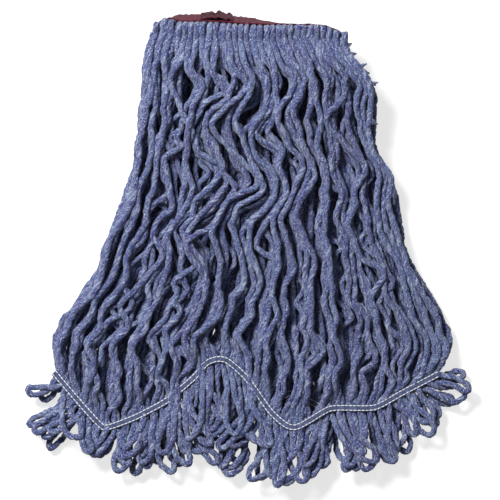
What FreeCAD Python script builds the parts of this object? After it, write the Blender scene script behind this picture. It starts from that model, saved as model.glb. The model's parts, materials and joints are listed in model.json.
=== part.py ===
"""A looped-end wet mop head, lying flat and folded in half at its headband.

A pack of soft yarn runs from the front curtain, through a wound headband tape, into the back curtain.
Near its far end each curtain is sewn between two narrow tail tapes, and past them the yarn turns back in loops.
X runs across the mop, Y from the loops towards the headband, Z up. The origin is the middle of the
headband's outer face, where a mop holder's jaw bears. All lengths are in millimetres.
"""

import FreeCAD, Part
import math
import os

Vector = FreeCAD.Vector

# Yarn
yarn_diameter = 5.0        # one strand, lightly pressed
yarn_clearance = 0.6       # left between neighbouring strands
strands = 60               # in each curtain; two neighbouring strands are one loop
layers = 2                 # strands lie two deep
loops_in_hank = 2          # loops that share one node
crowding = 0.75            # share of the strands' spacing that is left where they lean over in a wave

# Headband
pack_span = 168.0          # width of the yarn pack across the headband
tape_width = 25.4          # headband tape, along the yarn
tape_thickness = 1.2
tape_fit = 0.15            # between tape and yarn
tape_corner = 3.0          # outer corner radius of the wound tape
band_tilt = 14.0           # lean of the headband's face above the horizontal, degrees
lap_length = 22.0          # loose end of the tape, lapped over its start
lap_middle = -27.0         # across the mop
lap_step = 0.3             # the tape dips this much under the lap
lap_ruffle = 1.4           # height of the puckers in the loose end
lap_puckers = 3
seam_rows = (-9.5, -4.0, 4.0, 9.5)   # rows of stitching, from the middle of the tape's width
seam_thread = 0.8
seam_groove = 0.45         # depth that the thread pulls into the tape
seam_stitch = 4.2
seam_gap = 1.1
seam_end = 4.0             # bare tape past the last stitch

# Fold at each edge of the headband
knuckle_clearance = 0.35   # running gap round a curtain's rolled end
edge_clearance = 1.0       # between the tape's edge and the yarn folded over it
tight_bend = 0.5           # inner radius of the tightest bend in a strand

# Curtains, on the floor
tail_tape_width = 10.0
tail_tape_thickness = 0.8
tail_tape_fit = 0.1
tail_thread = 0.8
tail_thread_offset = 2.7   # each row of stitching, from the middle of the tail tape
tail_end = 5.0             # bare tape past the outer strands
tail_corner = 9.0          # bend radius of the tape's middle line
tail_lift_spare = 0.4      # between the lowest stitching and the floor
curtain_clearance = 0.6    # between the two curtains

# Plan shape: distance below the headband, then the left and right edges of the yarn
edge_stations = (
    (0.0, -82.0, 82.0),
    (45.0, -90.0, 97.0),
    (90.0, -92.0, 109.0),
    (150.0, -104.0, 120.0),
    (200.0, -119.0, 131.0),
    (250.0, -145.0, 151.0),
    (290.0, -166.0, 172.0),
    (370.0, -170.0, 168.0),
)
front_tail_line = (
    (-172.0, -313.0), (-126.0, -365.0), (-38.0, -300.0), (36.0, -363.0),
    (74.0, -342.0), (112.0, -345.0), (162.0, -317.0),
)
back_tail_line = (
    (-170.0, -318.0), (-118.0, -366.0), (-66.0, -328.0), (-18.0, -361.0),
    (38.0, -330.0), (96.0, -362.0), (166.0, -312.0),
)

# Waves and loops
bend_spacing = 26.0        # between a strand's bends, down the curtain
half_wave = 52.0
wave_growth = 120.0        # the waves grow to their full size over this length from the headband
wave_fade = 60.0           # and fade over this length before the tail tape
least_slack = 0.012        # spare length of the longest strand, as a share
most_wave = 8.5            # largest sideways wave
front_phase = 0.4
back_phase = 2.1
phase_drift = 1.6          # across a curtain, in radians
phase_ripple = 0.25        # a slow coming and going on top of the drift
loop_length = 48.0
loop_unevenness = 10.0
loop_gap = 7.0             # least sideways distance between a loop's two legs, at their middle lines
fan_left = 217.0           # the direction that the outermost loops point in, at each side, degrees
fan_right = 333.0
fan_gather = 4.0           # how strongly the rest of the loops point straight down
knuckle_descent = 150.0    # the front curtain comes down to the back one over this length
tail_ramp = 50.0           # each curtain rises to its tail tape over this length
tail_flat = 14.0           # and lies level for this length past it

golden = (math.sqrt(5) - 1) / 2
yarn_radius = yarn_diameter / 2
touch = yarn_diameter + yarn_clearance
tilt = math.radians(band_tilt)
outward = Vector(0, math.cos(tilt), math.sin(tilt))      # out of the headband's face
upward = Vector(0, -math.sin(tilt), math.cos(tilt))      # along the headband's width


def layer_rise(spacing):
    """Height from one layer to the next where neighbouring strands are this far apart sideways."""
    return math.sqrt(max(touch**2 - spacing**2, (touch / 2)**2))


def tail_rise(line):
    """Height from one layer to the next on the steepest stretch of a tail line."""
    spacing = (line_length(line) - 2 * tail_end) / strands
    steepest = min((b[0] - a[0]) / math.dist(a, b) for a, b in zip(line, line[1:]))
    return layer_rise(spacing * steepest)


def held_at(p):
    """How far across the headband strand p is held."""
    return (p / (strands - 1) - 0.5) * (pack_span - yarn_diameter)


def line_length(line):
    """Length of a broken line."""
    return sum(math.dist(a, b) for a, b in zip(line, line[1:]))


def depth(rise):
    """Thickness of the yarn, all layers together."""
    return yarn_diameter + (layers - 1) * rise


pack_rise = layer_rise(held_at(1) - held_at(0))
half_pack = depth(pack_rise) / 2
half_tape = half_pack + tape_fit + tape_thickness
pack_middle = outward * -half_tape
front_reach = tape_width / 2 + edge_clearance + half_pack
back_reach = tape_width / 2 + (half_pack + edge_clearance + half_tape * math.sin(tilt)) / math.cos(tilt)
front_fold = pack_middle + upward * front_reach
back_fold = pack_middle - upward * back_reach

floor = back_fold.z - half_pack
tape_stack = tail_tape_fit + tail_tape_thickness + tail_thread
back_lift = tape_stack + tail_lift_spare
front_base = floor + depth(pack_rise) + curtain_clearance
front_tail_base = floor + back_lift + depth(tail_rise(back_tail_line)) + 2 * tape_stack + curtain_clearance


def smooth(t):
    """0 to 1, level at both ends."""
    t = min(1.0, max(0.0, t))
    return t * t * (3 - 2 * t)


def uneven(number):
    """A share from -0.5 to 0.5 that differs from each number to the next."""
    return (number * golden) % 1.0 - 0.5


def edges_at(distance):
    """The left and right edges of the yarn at a distance below the headband."""
    rows = edge_stations
    for (d0, *a), (d1, *b) in zip(rows, rows[1:]):
        if distance <= d1:
            share = (distance - d0) / (d1 - d0)
            break
    else:
        share = 1.0
    return [low + (high - low) * share for low, high in zip(a, b)]


def along(line, distance):
    """The point at a distance along a broken line."""
    for a, b in zip(line, line[1:]):
        length = math.dist(a, b)
        if distance <= length or b == line[-1]:
            share = distance / length
            return Vector(a[0] + (b[0] - a[0]) * share, a[1] + (b[1] - a[1]) * share, 0)
        distance -= length


def rounded(corners, radii):
    """Edges of straight runs and tangent arcs through corners; a radius of None is as large as the runs allow."""
    edges, last = [], corners[0]
    for i in range(1, len(corners) - 1):
        before, at, after = corners[i - 1:i + 2]
        arrive, leave = at - before, after - at
        turn = arrive.getAngle(leave)
        if turn < 1e-3:
            continue
        half = math.tan(turn / 2)
        reach = 0.45 * min(arrive.Length, leave.Length)
        if radii[i] is not None:
            reach = radii[i] * half
        radius = reach / half
        start = at - arrive.normalize() * reach
        end = at + leave.normalize() * reach
        inward = (start + end) * 0.5 - at
        centre_gap = math.hypot(radius, reach)
        middle = at + inward.normalize() * (centre_gap - radius)
        if last.distanceToPoint(start) > 1e-4:
            edges.append(Part.LineSegment(last, start).toShape())
        edges.append(Part.Arc(start, middle, end).toShape())
        last = end
    if last.distanceToPoint(corners[-1]) > 1e-4:
        edges.append(Part.LineSegment(last, corners[-1]).toShape())
    return edges


def tube(corners, radii, radius):
    """A round tube along a rounded route."""
    edges = rounded(corners, radii)
    path = Part.Wire(edges)
    start = edges[0].valueAt(edges[0].FirstParameter)
    heading = edges[0].tangentAt(edges[0].FirstParameter)
    ring = Part.Wire(Part.Circle(start, heading, radius).toShape())
    pipe = path.makePipeShell([ring], True, False)
    return pipe


class Curtain:
    """One half of the yarn, from its fold at the headband to its loops."""

    def __init__(self, name, line, fold, up, base_at_fold, base_on_floor, base_at_tail, droop, phase):
        self.name = name
        self.line = line
        self.fold = fold
        self.up = up                  # 1 if the outer layer is the top one, -1 if the bottom one
        self.base_at_fold = base_at_fold
        self.base_on_floor = base_on_floor
        self.base_at_tail = base_at_tail
        self.droop = droop            # how far the lowest strands sink past the tail tape
        self.phase = phase
        self.length = line_length(line)
        self.tail_rise = tail_rise(line)
        self.plans = [self.plan(p) for p in range(strands)]
        lengths = [sum(a.distanceToPoint(b) for a, b in zip(r, r[1:])) for r in self.plans]
        self.strand_length = max(lengths) * (1 + least_slack)
        self.waves = [self.wave(length) for length in lengths]

    def sewn_at(self, p):
        """Where strand p crosses the tail tape."""
        free = self.length - 2 * tail_end
        return along(self.line, tail_end + (p + 0.5) * free / strands)

    def plan(self, p):
        """The strand's route in plan, without its waves."""
        across = (p + 0.5) / strands
        end = self.sewn_at(p)
        left, right = edges_at(-end.y)
        across_end = (end.x - left) / (right - left)
        reach = self.fold.y - end.y
        points = [Vector(held_at(p), self.fold.y, 0)]
        for k in range(1, max(2, round(reach / bend_spacing))):
            below = k * bend_spacing
            left, right = edges_at(below - self.fold.y)
            share = across + (across_end - across) * smooth(below / reach)
            points.append(Vector(left + (right - left) * share, self.fold.y - below, 0))
        return points + [Vector(end.x, end.y, 0)]

    def wave(self, length):
        """The sideways wave that takes up a strand's slack."""
        slack = self.strand_length / length - 1
        return min(most_wave, 2 * math.sqrt(slack) * half_wave / math.pi)

    def height(self, p, y):
        """Height of strand p at a distance down the curtain."""
        before = y - self.plans[p][-1].y
        down = smooth((self.fold.y - y) / knuckle_descent)
        lifted = 1 - smooth((before - 1.5 * bend_spacing) / tail_ramp)
        base = self.base_at_fold + (self.base_on_floor - self.base_at_fold) * down
        base += (self.base_at_tail - self.base_on_floor) * lifted
        left, right = edges_at(-y)
        rise = pack_rise if y == self.fold.y else layer_rise(crowding * (right - left) / strands)
        rise = min(pack_rise, rise) + (self.tail_rise - min(pack_rise, rise)) * lifted
        return base + yarn_radius + self.level(p) * rise

    def level(self, p):
        """How many layers lie under strand p."""
        layer = p % layers
        return layer if self.up > 0 else layers - 1 - layer

    def leg(self, p):
        """Corner points and radii of one strand, from its fold to the tail tape."""
        across = p / strands
        calm = 1 - 0.5 * (2 * across - 1)**4
        points = []
        for flat in self.plans[p]:
            below = self.fold.y - flat.y
            before = flat.y - self.plans[p][-1].y
            swing = calm * smooth(below / wave_growth) * smooth(before / wave_fade)
            turn = math.pi * below / half_wave + self.phase + phase_drift * across
            sway = self.waves[p] * swing * math.sin(turn + phase_ripple * math.sin(2 * math.pi * across))
            points.append(Vector(flat.x + sway, flat.y, self.height(p, flat.y)))
        radii = [None] * len(points)
        if p % layers == layers - 1:
            # the outer strands roll round the fold's axis and end where they meet the headband
            offset = pack_rise * (layers - 1) / 2
            half_turn = math.tan((math.pi / 2 - self.up * tilt) / 2)
            bend = max(offset, yarn_radius + tight_bend)
            x, z = points[0].x, points[0].z
            corner = self.fold + outward * offset + upward * (self.up * offset * half_turn)
            end = corner - upward * (self.up * bend * half_turn)
            points[:1] = [Vector(x, end.y, end.z), Vector(x, corner.y, corner.z),
                          Vector(x, self.fold.y - yarn_diameter, z)]
            radii[:1] = [None, bend, None]
        else:
            points[0].y -= yarn_radius
        return points, radii

    def loop(self, k):
        """One loop of yarn: down one strand, round past the tail tape and back up the next."""
        first, second = 2 * k, 2 * k + 1
        down, down_radii = self.leg(first)
        back, back_radii = self.leg(second)
        lean = 2 * (first + 1) / strands - 1
        fan = (fan_right if lean > 0 else fan_left) - 270
        angle = math.radians(270 + fan * abs(lean)**fan_gather)
        ahead = Vector(math.cos(angle), math.sin(angle), 0)
        side = Vector(-ahead.y, ahead.x, 0)
        middle = (down[-1] + back[-1]) * 0.5
        apart = max(loop_gap, (back[-1] - down[-1]).dot(side))
        reach = loop_length + loop_unevenness * uneven(k) - yarn_radius
        tip = []
        for strand, leg, hand in ((first, down, -0.5), (second, back, 0.5)):
            near = leg[-1] + ahead * tail_flat
            far = middle + ahead * reach + side * (hand * apart)
            far.z = near.z - (self.droop if self.level(strand) == 0 else 0)
            tip.append([near, far])
        corners = down + tip[0] + tip[1][::-1] + back[::-1]
        radii = down_radii + [None] * 4 + back_radii[::-1]
        return tube(corners, radii, yarn_radius)

    def tape(self, z):
        """A tail tape: a flat ribbon along the tail line."""
        half = tail_tape_width / 2
        sides = [offset_line(self.line, shift, tail_corner) for shift in (half, -half)]
        return ribbon(sides, z, tail_tape_thickness)

    def threads(self, z):
        """Two rows of stitching along a tail tape."""
        rows = []
        for shift in (tail_thread_offset, -tail_thread_offset):
            corners, radii = offset_line(self.line, shift, tail_corner)
            rows.append(tube([Vector(c.x, c.y, z) for c in corners], radii, tail_thread / 2))
        return rows


def offset_line(line, shift, corner):
    """A broken line moved sideways, with the radius that each of its corners then has."""
    points = [Vector(x, y, 0) for x, y in line]
    ways = [(b - a).normalize() for a, b in zip(points, points[1:])]
    moved, radii = [], []
    for i, point in enumerate(points):
        before, after = ways[max(0, i - 1)], ways[min(i, len(ways) - 1)]
        normal_before = Vector(-before.y, before.x, 0)
        normal_after = Vector(-after.y, after.x, 0)
        mitre = (normal_before + normal_after).normalize()
        moved.append(point + mitre * (shift / mitre.dot(normal_before)))
        left_turn = before.cross(after).z > 0
        radii.append(corner - shift if left_turn else corner + shift)
    return moved, radii


def ribbon(sides, z, thickness):
    """A flat strip between two rounded lines."""
    wires = []
    for corners, radii in sides:
        wires.append(rounded([Vector(c.x, c.y, z) for c in corners], radii))
    (a, _), (b, _) = sides
    lift = Vector(0, 0, z)
    start = Part.LineSegment(b[0] + lift, a[0] + lift).toShape()
    end = Part.LineSegment(a[-1] + lift, b[-1] + lift).toShape()
    wire = Part.Wire(Part.__sortEdges__(wires[0] + wires[1] + [start, end]))
    return Part.Face(wire).extrude(Vector(0, 0, thickness))


def on_band(shape):
    """Takes a shape drawn with X across, Y out of the headband's face and Z along its width to its place."""
    placed = shape.copy()
    placed.rotate(Vector(0, 0, 0), Vector(1, 0, 0), band_tilt)
    return placed


def headband_tape():
    """The tape wound once round the yarn pack, dipped under its lap and grooved by its stitching."""
    half = pack_span / 2 + tape_fit + tape_thickness
    deep = 2 * half_tape
    outer = Part.makeBox(2 * half, deep, tape_width, Vector(-half, -deep, -tape_width / 2))
    upright = [e for e in outer.Edges if abs(e.tangentAt(0).z) > 0.9]
    outer = outer.makeFillet(tape_corner, upright)
    hole = Part.makeBox(2 * (half - tape_thickness), deep - 2 * tape_thickness, tape_width,
                        Vector(tape_thickness - half, tape_thickness - deep, -tape_width / 2))
    tape = outer.cut(hole)
    dip = lap_length + 2 * tape_fit
    tape = tape.cut(Part.makeBox(dip, lap_step, tape_width,
                                 Vector(lap_middle - dip / 2, -lap_step, -tape_width / 2)))
    grooves = []
    wide = seam_thread + tape_fit
    for first, last in seam_runs():
        for row in seam_rows:
            for face in (-seam_groove, -deep):
                grooves.append(Part.makeBox(last - first + 2 * tape_fit, seam_groove, wide,
                                            Vector(first - tape_fit, face, row - wide / 2)))
    return on_band(tape.cut(grooves))


def seam_runs():
    """Where each run of stitching starts and ends, left and right of the lap."""
    outside = pack_span / 2 - seam_end
    beside = lap_length / 2 + tape_fit + seam_groove
    return (-outside, lap_middle - beside), (lap_middle + beside, outside)


def headband_stitches():
    """The stitches on the headband's two faces, each a short thread half sunk in its groove."""
    stitches = []
    for first, last in seam_runs():
        count = int((last - first + seam_gap) / (seam_stitch + seam_gap))
        for row in seam_rows:
            for face in (0, -2 * half_tape):
                for i in range(count):
                    start = Vector(first + i * (seam_stitch + seam_gap), face, row)
                    stitches.append(on_band(Part.makeCylinder(seam_thread / 2, seam_stitch, start,
                                                              Vector(1, 0, 0))))
    return stitches


def headband_lap():
    """The loose, puckered end of the tape, lapped over its start."""
    steps = 4 * lap_puckers
    low = [Vector(lap_middle + lap_length * (i / steps - 0.5),
                  tape_fit - lap_step + lap_ruffle * (1 - math.cos(2 * math.pi * lap_puckers * i / steps)) / 2,
                  -tape_width / 2) for i in range(steps + 1)]
    high = [v + Vector(0, tape_thickness, 0) for v in low]
    curves = []
    for points in (low, high):
        curve = Part.BSplineCurve()
        curve.interpolate(points)
        curves.append(curve.toShape())
    ends = [Part.LineSegment(low[i], high[i]).toShape() for i in (0, -1)]
    wire = Part.Wire(Part.__sortEdges__(curves + ends))
    return on_band(Part.Face(wire).extrude(Vector(0, 0, tape_width)))


def headband_yarn():
    """The stretch of every strand that the headband holds, between the two folds."""
    roll = half_pack + knuckle_clearance
    far = 4 * roll
    cutters = []
    for fold, low in ((front_fold, -roll), (back_fold, roll - far)):
        start = Vector(-pack_span, fold.y, fold.z)
        cutters.append(Part.makeCylinder(roll, 2 * pack_span, start, Vector(1, 0, 0)))
        cutters.append(Part.makeBox(2 * pack_span, far, far, start + Vector(0, -far, low)))
    pieces = []
    for p in range(strands):
        start = pack_middle + outward * ((p % layers - (layers - 1) / 2) * pack_rise) - upward * back_reach
        start.x = held_at(p)
        strand = Part.makeCylinder(yarn_radius, front_reach + back_reach, start, upward).cut(cutters)
        pieces.append(max(strand.Solids, key=lambda s: s.Volume))
    return pieces


def write(name, solids):
    """Writes one sub-part, as one solid or a group of separate ones."""
    shape = solids[0] if len(solids) == 1 else Part.makeCompound(solids)
    shape.exportStep(f"parts/{name}.step")


def main():
    os.makedirs("parts", exist_ok=True)
    write("headband_tape", [headband_tape()])
    write("headband_lap", [headband_lap()])
    write("headband_stitches", headband_stitches())
    write("headband_yarn", headband_yarn())
    curtains = (
        Curtain("front", front_tail_line, front_fold, 1, front_fold.z - half_pack, front_base,
                front_tail_base, tape_stack + curtain_clearance / 2, front_phase),
        Curtain("back", back_tail_line, back_fold, -1, floor, floor, floor + back_lift, back_lift,
                back_phase),
    )
    for curtain in curtains:
        loops = strands // 2
        for first in range(0, loops, loops_in_hank):
            hank = [curtain.loop(k) for k in range(first, min(loops, first + loops_in_hank))]
            write(f"{curtain.name}_yarn_{first // loops_in_hank + 1:02d}", hank)
        under = curtain.base_at_tail - tail_tape_fit - tail_tape_thickness
        over = curtain.base_at_tail + depth(curtain.tail_rise) + tail_tape_fit
        write(f"{curtain.name}_tail_tape_top", [curtain.tape(over)])
        write(f"{curtain.name}_tail_tape_under", [curtain.tape(under)])
        write(f"{curtain.name}_tail_stitches_top",
              curtain.threads(over + tail_tape_thickness + tail_thread / 2))
        write(f"{curtain.name}_tail_stitches_under", curtain.threads(under - tail_thread / 2))
        print(curtain.name, "strand length", round(curtain.strand_length, 1),
              "tail tape", round(curtain.length, 1), "waves",
              round(min(curtain.waves), 1), round(max(curtain.waves), 1))
    print("floor", round(floor, 2), "front fold", front_fold, "back fold", back_fold)


main()
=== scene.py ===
"""The looks of a looped-end wet mop head: ply yarn, a woven headband, sewn tail bands and a white stage."""

import functools
import json
import math

import bpy
import numpy as np
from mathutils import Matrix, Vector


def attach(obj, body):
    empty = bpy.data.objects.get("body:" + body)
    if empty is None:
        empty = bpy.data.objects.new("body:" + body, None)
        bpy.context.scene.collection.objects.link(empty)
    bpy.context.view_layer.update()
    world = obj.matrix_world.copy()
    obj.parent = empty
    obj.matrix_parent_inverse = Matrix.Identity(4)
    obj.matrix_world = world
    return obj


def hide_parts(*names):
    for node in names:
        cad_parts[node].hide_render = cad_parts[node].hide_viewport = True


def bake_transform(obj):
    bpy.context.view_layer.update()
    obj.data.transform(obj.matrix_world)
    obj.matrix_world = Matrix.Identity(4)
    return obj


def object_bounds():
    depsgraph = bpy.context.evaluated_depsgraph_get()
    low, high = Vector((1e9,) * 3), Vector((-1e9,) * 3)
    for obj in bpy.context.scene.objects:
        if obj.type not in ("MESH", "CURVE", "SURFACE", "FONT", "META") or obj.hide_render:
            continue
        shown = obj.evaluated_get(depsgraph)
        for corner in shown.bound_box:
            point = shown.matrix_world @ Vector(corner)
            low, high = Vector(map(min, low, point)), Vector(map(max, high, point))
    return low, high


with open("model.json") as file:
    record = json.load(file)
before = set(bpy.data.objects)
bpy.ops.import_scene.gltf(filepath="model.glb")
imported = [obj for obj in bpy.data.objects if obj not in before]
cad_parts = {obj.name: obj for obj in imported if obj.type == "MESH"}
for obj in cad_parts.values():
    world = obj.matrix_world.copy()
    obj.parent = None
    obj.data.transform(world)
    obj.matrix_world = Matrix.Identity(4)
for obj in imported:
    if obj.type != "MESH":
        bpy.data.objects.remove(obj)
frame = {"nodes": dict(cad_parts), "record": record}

bl_info = {
    "name": "Looped Mop Head",
    "version": (1, 0, 0),
    "blender": (4, 5, 0),
    "location": "View3D > Sidebar > Mop Head",
    "description": "Lays and finishes the yarn, headband and tail bands of a looped-end mop head",
    "category": "Object",
}

CAD_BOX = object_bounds()
MM = 0.001

# Places taken from the frame, in millimetres
FLOOR = CAD_BOX[0][2] / MM
FACE_AXIS = frame["record"]["mounts"][0]["axis"]
CAD_LEAN = math.degrees(math.atan2(FACE_AXIS[2], FACE_AXIS[1]))
LOOP_NODES = {side: sorted(n for n in frame["nodes"] if n.startswith(side + "_yarn_"))
              for side in ("front", "back")}

# The lie of the yarn, in millimetres: X across the mop, Y up to the headband
STRANDS = 90
LOOPS_IN_HANK = 3
PACK_SPAN = 168.0
# The middle line of each tail tape
TAIL_LINES = {
    "front": ((-172, -313), (-129, -364), (-100, -353), (-73, -339), (-46, -316), (-37, -303),
              (-21, -300), (-2, -317), (20, -349), (37, -363), (48, -359), (72, -344),
              (112, -345), (136, -331), (169, -314)),
    "back": ((-170, -318), (-118, -366), (-66, -328), (-18, -361), (38, -330), (96, -362),
             (166, -312)),
}
TAIL_END = 5.0          # bare tape past the outer strands
TAIL_CORNER = 4.0       # how far the tape's corners are rounded
# The yarn's outline: how far below the headband, its left edge and its right edge
EDGES = (
    (0, -80, 80), (11, -82, 82), (25, -89, 95), (38, -91, 98), (51, -95, 104), (64, -95, 109),
    (91, -95, 111), (117, -96, 114), (130, -103, 121), (143, -109, 127), (170, -113, 131),
    (196, -124, 138), (223, -136, 148), (249, -152, 164), (275, -170, 182), (289, -177, 189),
    (302, -179, 191), (330, -180, 189), (380, -176, 172),
)
# How low the loops reach, from place to place across the mop
LOW_EDGE = ((-198, -352), (-188, -366), (-166, -388), (-139, -384), (-113, -400), (-87, -405), (-60, -403),
            (-34, -388), (-8, -400), (19, -414), (45, -413), (72, -406), (98, -401), (124, -392), (151, -377),
            (177, -352), (196, -338))
# The ways that the leftmost and the rightmost loops point, in degrees
FANS = {"front": (226, 336), "back": (216, 344)}
LOOPS_WITHIN = (-188, 196)     # the loops stop short of these places across the mop

# Gaps that part the front curtain: place, half width and half length
GAPS = (
    (-27, -77, 5.5, 16), (-3, -82, 6.5, 19), (31, -58, 4.5, 20), (19, -118, 6.0, 20),
    (35, -128, 5.0, 18), (85, -135, 5.0, 20), (-36, -136, 6.0, 17), (-16, -146, 6.0, 17),
    (2, -160, 7.0, 20), (-63, -110, 4.0, 18), (-54, -62, 3.5, 16), (58, -88, 3.5, 17),
    (-74, -168, 4.5, 20), (52, -172, 4.5, 20), (-40, -196, 5.0, 20), (78, -196, 4.0, 20),
    (14, -208, 4.5, 20), (-96, -214, 4.0, 20), (108, -222, 4.5, 20), (-14, -238, 4.0, 18),
    (42, -246, 4.5, 20), (-62, -250, 4.5, 18), (-118, -262, 4.5, 18), (84, -268, 4.5, 18),
    (130, -276, 4.0, 16), (2, -282, 4.0, 14), (-92, -290, 4.5, 16), (-146, -298, 3.5, 12),
    (56, -300, 4.5, 16), (104, -306, 4.0, 14), (-79, -50, 2.6, 13), (-66, -45, 2.2, 10),
    (-44, -49, 3.0, 13), (-16, -47, 2.4, 11), (4, -50, 2.8, 13), (-51, -27, 2.0, 9),
    (-63, -33, 1.8, 8), (18, -46, 2.2, 10), (46, -48, 2.6, 12), (64, -52, 2.8, 13),
    (80, -49, 2.6, 12), (94, -62, 2.8, 14),
)
# Where front strands lie over the tail tape, from and to across the mop
COVERS = ((-73, -60), (-47, -38), (-1, 6), (38, 48))
# Frayed tips at the front curtain's right edge: how far down, the way that each points and its length
TIPS = ((-27, 30, 4), (-33, 8, 4), (-44, 22, 5), (-47, -20, 5), (-57, -30, 5), (-60, 12, 5), (-90, -36, 6),
        (-94, -14, 4))


class YarnSettings(bpy.types.PropertyGroup):
    thickness: bpy.props.FloatProperty(
        name="Yarn thickness", description="Diameter of one strand of yarn",
        default=5.2 * MM, min=1 * MM, unit="LENGTH")
    twist: bpy.props.FloatProperty(
        name="Twist length", description="Length in which the plies go once round",
        default=24 * MM, min=4 * MM, unit="LENGTH")
    blue: bpy.props.FloatVectorProperty(
        name="Blue", description="Main colour of the yarn's fibres",
        default=(0.074, 0.118, 0.262), size=3, min=0, max=1, subtype="COLOR")
    pale: bpy.props.FloatVectorProperty(
        name="Pale", description="Colour of the undyed flecks",
        default=(0.60, 0.68, 0.82), size=3, min=0, max=1, subtype="COLOR")
    purple: bpy.props.FloatVectorProperty(
        name="Purple", description="Main colour of the strands that lean most to purple",
        default=(0.036, 0.033, 0.150), size=3, min=0, max=1, subtype="COLOR")
    # Also mixed into the grooves between the plies as painted shade.
    dark: bpy.props.FloatVectorProperty(
        name="Dark", description="Colour of the dark purple fibres",
        default=(0.009, 0.014, 0.140), size=3, min=0, max=1, subtype="COLOR")
    seed: bpy.props.IntProperty(
        name="Lie", description="Chooses one way for the yarn to lie", default=7, min=0)


class BandSettings(bpy.types.PropertyGroup):
    headband: bpy.props.FloatVectorProperty(
        name="Headband", description="Colour of the headband tape",
        default=(0.105, 0.012, 0.028), size=3, min=0, max=1, subtype="COLOR")
    tail_tape: bpy.props.FloatVectorProperty(
        name="Tail tape", description="Colour of the tail tapes",
        default=(0.095, 0.118, 0.225), size=3, min=0, max=1, subtype="COLOR")
    thread: bpy.props.FloatVectorProperty(
        name="Thread", description="Colour of the sewing thread",
        default=(0.90, 0.91, 0.95), size=3, min=0, max=1, subtype="COLOR")
    tail_width: bpy.props.FloatProperty(
        name="Tail tape width", description="Width of each tail tape",
        default=6.4 * MM, min=2 * MM, unit="LENGTH")
    row_gap: bpy.props.FloatProperty(
        name="Stitch row gap", description="Distance between a tail tape's two rows of stitches",
        default=4.1 * MM, min=1 * MM, unit="LENGTH")


class StageSettings(bpy.types.PropertyGroup):
    key_power: bpy.props.FloatProperty(
        name="Key light", description="Power of the large soft lamp", default=46.0, min=0, unit="POWER")
    sky: bpy.props.FloatProperty(
        name="Surround", description="Strength of the even light from all round", default=0.17, min=0)
    lens: bpy.props.FloatProperty(
        name="Lens", description="Focal length of the camera, millimetres", default=180.0, min=20)


# ---------------------------------------------------------------- small helpers

def smooth(t):
    """0 to 1, level at both ends."""
    t = np.clip(t, 0, 1)
    return t * t * (3 - 2 * t)


def deselect():
    """Leaves nothing selected."""
    if bpy.context.mode != "OBJECT":
        bpy.ops.object.mode_set(mode="OBJECT")
    bpy.ops.object.select_all(action="DESELECT")


def new_mesh(name, points, faces, attributes=()):
    """An object from points in millimetres and faces, smooth shaded, with point attributes."""
    mesh = bpy.data.meshes.new(name)
    points = np.asarray(points, float) * MM
    mesh.vertices.add(len(points))
    mesh.vertices.foreach_set("co", points.astype(np.float32).ravel())
    faces = np.asarray(faces, np.int32)
    mesh.loops.add(faces.size)
    mesh.loops.foreach_set("vertex_index", faces.ravel())
    mesh.polygons.add(len(faces))
    mesh.polygons.foreach_set("loop_start", np.arange(0, faces.size, faces.shape[1], dtype=np.int32))
    mesh.polygons.foreach_set("use_smooth", np.ones(len(faces), bool))
    mesh.update(calc_edges=True)
    mesh.validate()
    for label, kind, values in attributes:
        field = "vector" if kind == "FLOAT_VECTOR" else "value"
        layer = mesh.attributes.new(label, kind, "POINT")
        layer.data.foreach_set(field, np.asarray(values, np.float32).ravel())
    piece = bpy.data.objects.new(name, mesh)
    bpy.context.scene.collection.objects.link(piece)
    return piece


def nurbs_line(controls):
    """Points along the smooth NURBS curve of some control points, millimetres."""
    curve = bpy.data.curves.new("route", "CURVE")
    curve.dimensions = "3D"
    spline = curve.splines.new("NURBS")
    spline.points.add(len(controls) - 1)
    spline.points.foreach_set("co", np.column_stack([controls, np.ones(len(controls))]).ravel())
    spline.order_u = 3
    spline.use_endpoint_u = True
    spline.resolution_u = 8
    holder = bpy.data.objects.new("route", curve)
    mesh = bpy.data.meshes.new_from_object(holder)
    points = np.zeros(len(mesh.vertices) * 3)
    mesh.vertices.foreach_get("co", points)
    bpy.data.objects.remove(holder)
    bpy.data.curves.remove(curve)
    bpy.data.meshes.remove(mesh)
    return points.reshape(-1, 3)


def steps_of(points):
    """The distances from each point of a line to the next."""
    return np.linalg.norm(np.diff(points, axis=0), axis=1)


def run_of(points):
    """How far along a line each of its points is."""
    return np.concatenate([[0], np.cumsum(steps_of(points))])


def heading(angle):
    """The direction in plan at an angle in degrees."""
    return np.array([math.cos(math.radians(angle)), math.sin(math.radians(angle))])


def evenly(points, gap):
    """The same line with points an even gap apart."""
    points = points[np.concatenate([[True], steps_of(points) > 1e-6])]
    run = run_of(points)
    wanted = np.linspace(0, run[-1], max(2, int(round(run[-1] / gap)) + 1))
    return np.column_stack([np.interp(wanted, run, points[:, i]) for i in range(points.shape[1])])


def tangents(points):
    """Unit directions along a line of points."""
    way = np.gradient(points, axis=0)
    return way / np.maximum(np.linalg.norm(way, axis=1, keepdims=True), 1e-9)


def blurred(values, width):
    """Values smoothed along a line by a bell of a width in points, ends held."""
    reach = int(3 * width) + 1
    bell = np.exp(-0.5 * (np.arange(-reach, reach + 1) / width) ** 2)
    padded = np.concatenate([np.full(reach, values[0]), values, np.full(reach, values[-1])])
    return np.convolve(padded, bell / bell.sum(), "valid")


def bridged(heights, fall):
    """Heights that a stiff line bridges: it drops by at most a fall from point to point."""
    out = heights.copy()
    for i in range(1, len(out)):
        out[i] = max(out[i], out[i - 1] - fall)
    for i in range(len(out) - 2, -1, -1):
        out[i] = max(out[i], out[i + 1] - fall)
    return out


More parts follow.
